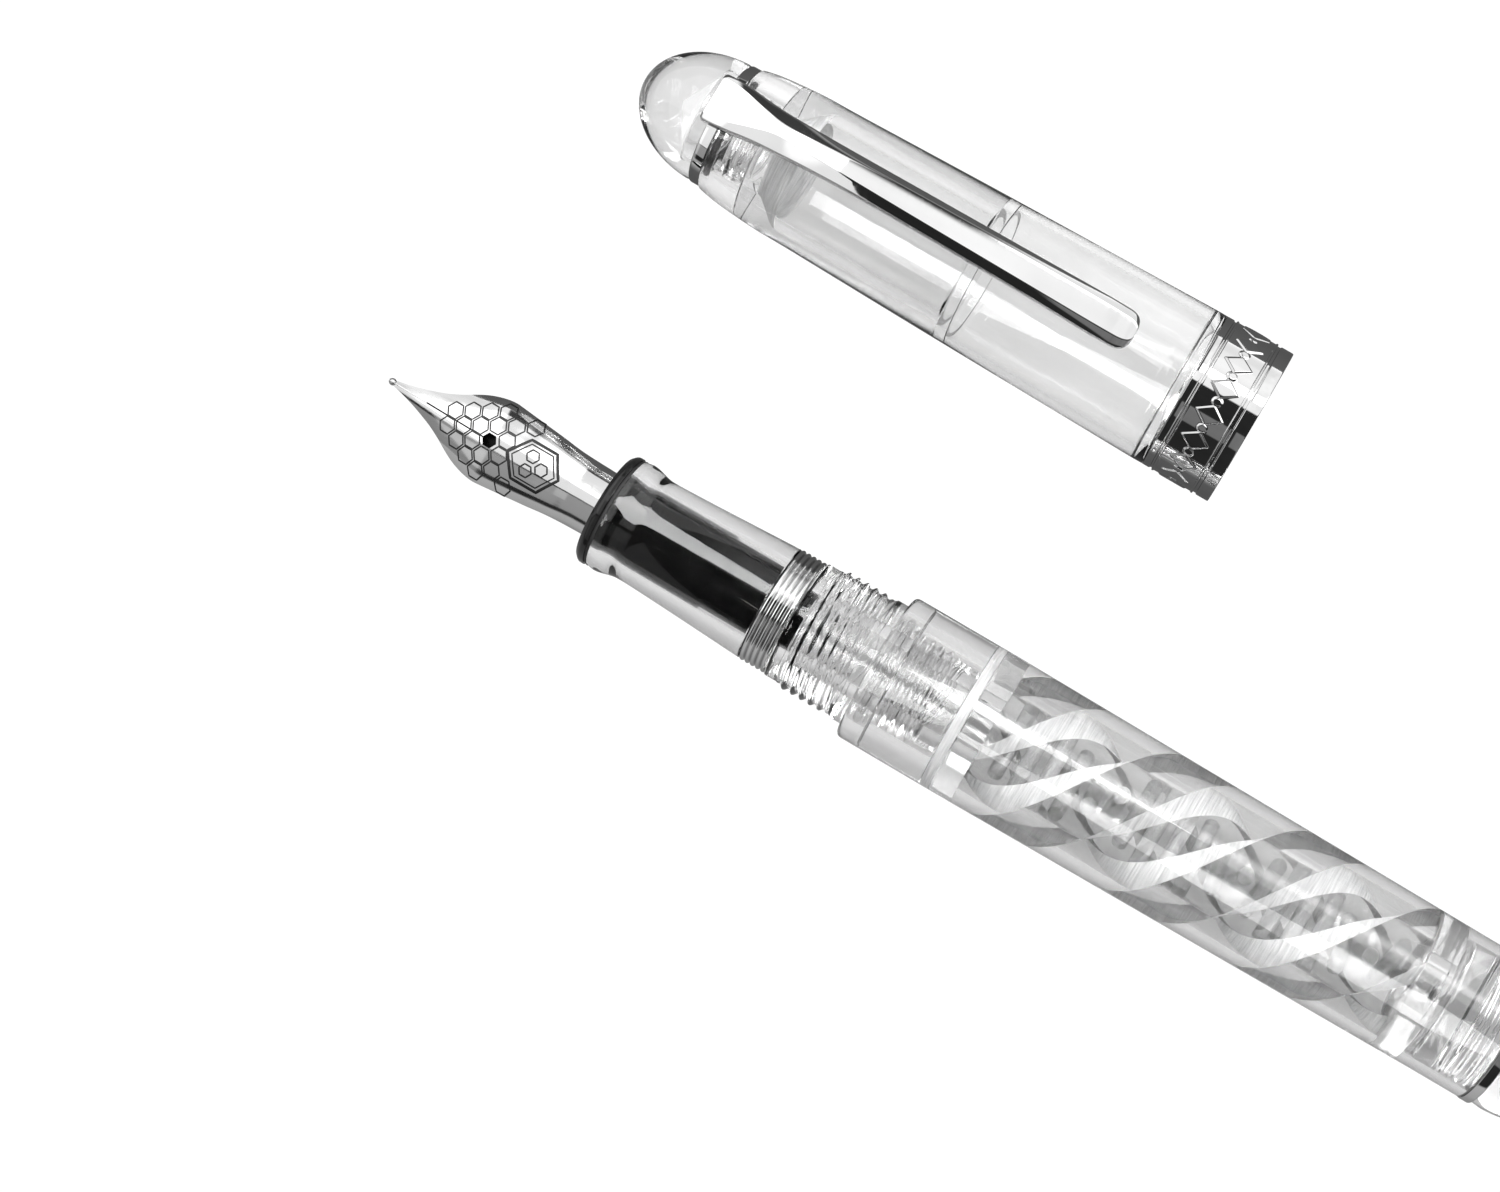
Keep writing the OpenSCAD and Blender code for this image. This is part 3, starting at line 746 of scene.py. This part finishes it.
def band_relief(r, x, a):
    """A row of raised lozenges with a dot between each pair, around the middle of the band."""
    if r < BAND_R - 0.05 or not 59.4 < x < 63.2:
        return 0
    turn = a / TAU * LOZENGES
    along = (x - 61.3) / 1.45
    across = abs(turn - round(turn)) * 2
    shape = 1 - abs(along) - across * 1.35
    dot = 0.36 - math.hypot((x - 61.3) / 1.5, (1 - across) * 1.1)
    near = max(shape, dot)
    return RELIEF * max(0, min(1, near * 9))


def make_band():
    base, inner, edge = BAND_R - 0.02, BAND_R - 0.55, BAND_R + 0.08
    corners = rounded([(inner, BAND_FRONT), (BAND_R, BAND_FRONT, 0.1), (BAND_R, 58.85, 0.06),
                       (base - 0.1, 58.95, 0.04),
                       (base - 0.1, 59.1, 0.04), (edge, 59.15, 0.05), (edge, 59.3, 0.05), (base, 59.38)])
    middle_rows = straight(base, 59.4, base, 63.2, 0.05)
    rear = rounded([(base, 63.22), (edge, 63.3, 0.05), (edge, 63.45, 0.05), (base - 0.1, 63.5, 0.04),
                    (base - 0.1, 63.75, 0.04), (BAND_R, 63.85, 0.06), (BAND_R, CAP_REAR, 0.12),
                    (MOUTH_R, CAP_REAR, 0.1), (MOUTH_R, CAP_REAR - 0.38), (inner, CAP_REAR - 0.38)])
    turned("band", cap, corners + middle_rows + rear, "cap", chrome, ["cap_band"],
           band_relief, 720, 40)


# Station, half-width of the flat top, half-width over the sides, height of the top,
# drop from the top to the sides' upper edge, height of the sides' lower edge
CLIP = [
    (7.85, 1.75, 2.3, 7.95, 0.3, 7.05),
    (8.3, 1.88, 2.46, 8.1, 0.35, 7.05),
    (10.4, 1.62, 2.36, 8.42, 0.4, 7.15),
    (13, 1, 2.06, 8.77, 0.6, 7.4),
    (15.7, 0.6, 1.9, 8.98, 0.7, 7.65),
    (21.5, 0.8, 1.78, 9.32, 0.65, 8.05),
    (30.5, 1, 1.78, 9.47, 0.55, 8.25),
    (42, 1.12, 1.88, 9.32, 0.5, 8.2),
    (47.8, 1.15, 1.98, 9.12, 0.5, 8.15),
    (50.1, 1.12, 1.96, 9.0, 0.48, 8.15),
]


def corner_arc(a, b, c, radius, steps=4):
    """Points of a rounded corner at b between a and c."""
    a, b, c = Vector(a), Vector(b), Vector(c)
    start = b + (a - b).normalized() * min(radius, (a - b).length / 2.2)
    end = b + (c - b).normalized() * min(radius, (c - b).length / 2.2)
    return [(1 - t) ** 2 * start + 2 * t * (1 - t) * b + t * t * end
            for t in (k / steps for k in range(steps + 1))]


def clip_loop(station, top, side, high, drop, low):
    """Cross-section of the clip: flat top, sloping shoulders, short upright sides and a channel beneath."""
    wall, shoulder = 0.38, high - drop
    right = [(-top, high), (top, high), (side, shoulder), (side, low), (side - wall, low)]
    outer = (corner_arc(*right[0:3], 0.1) + corner_arc(*right[1:4], 0.22)
             + [Vector(right[3]), Vector(right[4])])
    half = outer + [Vector((max(0.05, side - wall), shoulder - wall * 0.7)), Vector((top * 0.6, high - wall))]
    loop = [Vector((-p.x, p.y)) for p in reversed(half)] + half
    return [cap.local(station, p.x, p.y) for p in loop]


def make_clip():
    knots = smooth_through(CLIP, 7)
    loops = [clip_loop(*k) for k in knots]
    last, reach = knots[-1], 1.85
    for i in range(1, 14):
        a = math.pi / 2 * i / 13.6
        share = (1 - math.sin(a) ** 3) ** (1 / 3)
        loops.append(clip_loop(last[0] + reach * math.sin(a), max(0.25, last[1] * share),
                               max(0.5, last[2] * share), last[3] - 0.2 * (1 - share),
                               last[4] * (0.5 + 0.5 * share), last[5] + 0.05 * (1 - share)))
    n, points = len(loops[0]), [p for loop in loops for p in loop]
    faces = skin(0, len(loops), n)
    faces += [tuple(range(n)), tuple((len(loops) - 1) * n + k for k in range(n))]
    base = len(points)
    tab = [(x, w, h) for h in (6.18, 7.9) for x, w in ((RING_FRONT + 0.1, -1), (RING_REAR - 0.1, -1),
                                                       (RING_REAR - 0.1, 1), (RING_FRONT + 0.1, 1))]
    points += [cap.local(*corner) for corner in tab]
    faces += [tuple(base + k for k in f)
              for f in ((0, 1, 2, 3), (4, 5, 6, 7), (0, 1, 5, 4), (1, 2, 6, 5), (2, 3, 7, 6), (3, 0, 4, 7))]
    finished("clip_spring", mesh_from("clip_spring", points, faces), "clip", [chrome],
             ["clip"], 40)


# ---------------------------------------------------------------- carried-over CAD nodes

def dress(node, material):
    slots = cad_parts[node].data.materials
    slots.clear()
    slots.append(material)


# ---------------------------------------------------------------- floor, light and camera

def make_floor():
    """A staged floor: white to the camera and grey to other rays, brightest under the cap. Mirrored rays see
    it darker, least so on the pen's near side."""
    size, mesh = 3.0, bpy.data.meshes.new("floor")
    mesh.from_pydata([(-size, -size, 0), (size, -size, 0), (size, size, 0), (-size, size, 0)], [],
                     [(0, 1, 2, 3)])
    floor = bpy.data.objects.new("floor", mesh)
    bpy.context.scene.collection.objects.link(floor)
    material, nodes, links, shader = new_material("pale_floor")
    grain = noise_field(nodes, links, 400, (1, 1, 1), 3.0)
    tone(nodes, links, shader, grain, grey(0.1), grey(0.12))
    shader.inputs["Roughness"].default_value = 0.8
    shader.inputs["Emission Color"].default_value = (1, 1, 1, 1)
    split, place, ray, mirrored = (nodes.new(kind) for kind in ("ShaderNodeSeparateXYZ", "ShaderNodeTexCoord",
                                                                "ShaderNodeLightPath", "ShaderNodeMath"))
    links.new(place.outputs["Object"], split.inputs["Vector"])
    under_cap = nodes.new("ShaderNodeMath")
    under_cap.operation = mirrored.operation = "MULTIPLY"
    links.new(spread(nodes, links, split.outputs["Y"], 0.4, 0.76, 0.002, 0.01), under_cap.inputs[0])
    links.new(spread(nodes, links, split.outputs["Y"], 1, 0.3, 0.034, 0.05), under_cap.inputs[1])
    links.new(under_cap.outputs[0], shader.inputs["Emission Strength"])
    links.new(ray.outputs["Is Glossy Ray"], mirrored.inputs[0])
    links.new(ray.outputs["Is Reflection Ray"], mirrored.inputs[1])
    shade, white = nodes.new("ShaderNodeEmission"), nodes.new("ShaderNodeEmission")
    links.new(spread(nodes, links, split.outputs["Y"], 0.5, 0.13, -0.04, -0.01), shade.inputs["Strength"])
    white.inputs["Strength"].default_value = 1.05
    below = shader.outputs["BSDF"]
    for share, glow in ((mirrored.outputs[0], shade), (ray.outputs["Is Camera Ray"], white)):
        mix = nodes.new("ShaderNodeMixShader")
        links.new(share, mix.inputs["Fac"])
        links.new(below, mix.inputs[1])
        links.new(glow.outputs["Emission"], mix.inputs[2])
        below = mix.outputs["Shader"]
    links.new(below, nodes["Material Output"].inputs["Surface"])
    mesh.materials.append(material)
    floor.location.z = -0.0002


def make_sky():
    """A dim studio: a broad softbox beyond the cap with a dark opening and strip lights in it, two dim
    patches on the near side, and a pale wall beyond the nib."""
    world = bpy.data.worlds.new("studio")
    bpy.context.scene.world = world
    world.use_nodes = True
    nodes, links = world.node_tree.nodes, world.node_tree.links
    place = nodes.new("ShaderNodeTexCoord")
    split = nodes.new("ShaderNodeSeparateXYZ")
    links.new(place.outputs["Generated"], split.inputs["Vector"])
    x, y, z = split.outputs

    def combine(operation, *inputs):
        node = nodes.new("ShaderNodeMath")
        node.operation = operation
        for socket, value in zip(node.inputs, inputs):
            if isinstance(value, (int, float)):
                socket.default_value = value
            else:
                links.new(value, socket)
        return node.outputs[0]

    def ramp(value, start, end, low, high):
        node = nodes.new("ShaderNodeMapRange")
        node.interpolation_type = "SMOOTHSTEP"
        for key, number in zip(("From Min", "From Max", "To Min", "To Max"), (start, end, low, high)):
            node.inputs[key].default_value = number
        links.new(value, node.inputs["Value"])
        return node.outputs["Result"]

    def patch(low, high, x_low, x_high, level, soft=0.02):
        """A lit patch between two values of y and two of x."""
        shape = [ramp(y, low - soft, low + soft, 0, 1), ramp(y, high - soft, high + soft, 1, 0),
                 ramp(x, x_low - soft, x_low + soft, 0, 1), ramp(x, x_high - soft, x_high + soft, 1, 0)]
        both = combine("MULTIPLY", combine("MULTIPLY", *shape[:2]), combine("MULTIPLY", *shape[2:]))
        return combine("MULTIPLY", both, level)

    wall = combine("MULTIPLY", ramp(x, -0.28, -0.36, 0, 0.85), ramp(y, -0.3, -0.26, 0, 1))
    box = combine("MULTIPLY", patch(0.22, 1.2, -1.2, 1.2, 1.0),
                  combine("SUBTRACT", 1.0, patch(0.43, 1.2, -0.3, -0.08, 0.95)))
    level = combine("MAXIMUM", 0.02, combine("MAXIMUM", wall, box))
    near_patches = [(-0.68, -0.34, -0.04, 1.2, 0.18), (-1.2, -0.38, -1.2, -0.28, 0.3)]
    strip_lights = [(0.46, 0.54, -0.32, -0.2, 0.8), (0.44, 0.62, -0.07, 0.75, 3.5)]
    for lit in near_patches + strip_lights:
        level = combine("MAXIMUM", level, patch(*lit))
    streaks = nodes.new("ShaderNodeTexNoise")
    streaks.inputs["Scale"].default_value = 3.0
    links.new(place.outputs["Generated"], streaks.inputs["Vector"])
    level = combine("MULTIPLY", level, ramp(streaks.outputs["Fac"], 0.3, 0.7, 0.9, 1.1))
    level = combine("ADD", level, ramp(z, 0.06, 0.0, 0, 0.3))
    links.new(level, nodes["Background"].inputs["Strength"])
    nodes["Background"].inputs["Color"].default_value = (1, 1, 1, 1)


def make_light(name, location, size, energy, **seen):
    """A square or oblong lamp that faces straight down until it is turned."""
    data = bpy.data.lights.new(name, "AREA")
    data.shape, data.size, data.size_y, data.energy = "RECTANGLE", *size, energy
    light = bpy.data.objects.new(name, data)
    bpy.context.scene.collection.objects.link(light)
    light.location = location
    for kind, state in seen.items():
        setattr(light, kind, state)
    return light


def make_lights():
    fill = make_light("fill", (-0.3, 0.35, 0.6), (0.6, 0.6), 18, visible_glossy=False)
    side = make_light("side", (0.3, -0.35, 0.6), (0.6, 0.6), 7, visible_glossy=False)
    for lamp in (fill, side):
        lamp.rotation_euler = (-lamp.location).to_track_quat("-Z", "Y").to_euler()
    for name, y, width, energy in (("nib_card", 0.026, 0.108, 0.018), ("low_card", -0.08, 0.1, 0.006)):
        make_light(name, (-0.0735, y, 0.041), (0.063, width), energy, visible_camera=False,
                   visible_transmission=False)


def make_camera():
    data = bpy.data.cameras.new("camera")
    camera = bpy.data.objects.new("camera", data)
    bpy.context.scene.collection.objects.link(camera)
    data.sensor_width, data.lens = 36, 66.9
    data.shift_x = -0.10
    data.clip_start, data.clip_end = 0.01, 20
    camera.location = (0.00465, -0.00825, 0.2657)
    camera.rotation_euler = [math.radians(a) for a in (1.288, 3.72, 30.376)]
    bpy.context.scene.camera = camera


make_nib()
make_tipping()
make_section()
make_neck()
make_barrel()
make_rear_finial()
make_helix()
make_cap_tube()
make_inner_cap()
make_cap_finial()
make_band()
make_clip()
dress("feed", black_plastic)
dress("nib_housing", black_plastic)
make_floor()
make_sky()
make_lights()
make_camera()
bpy.context.scene.view_settings.view_transform = "Standard"
bpy.context.scene.cycles.max_bounces = 24
bpy.context.scene.cycles.transmission_bounces = 24
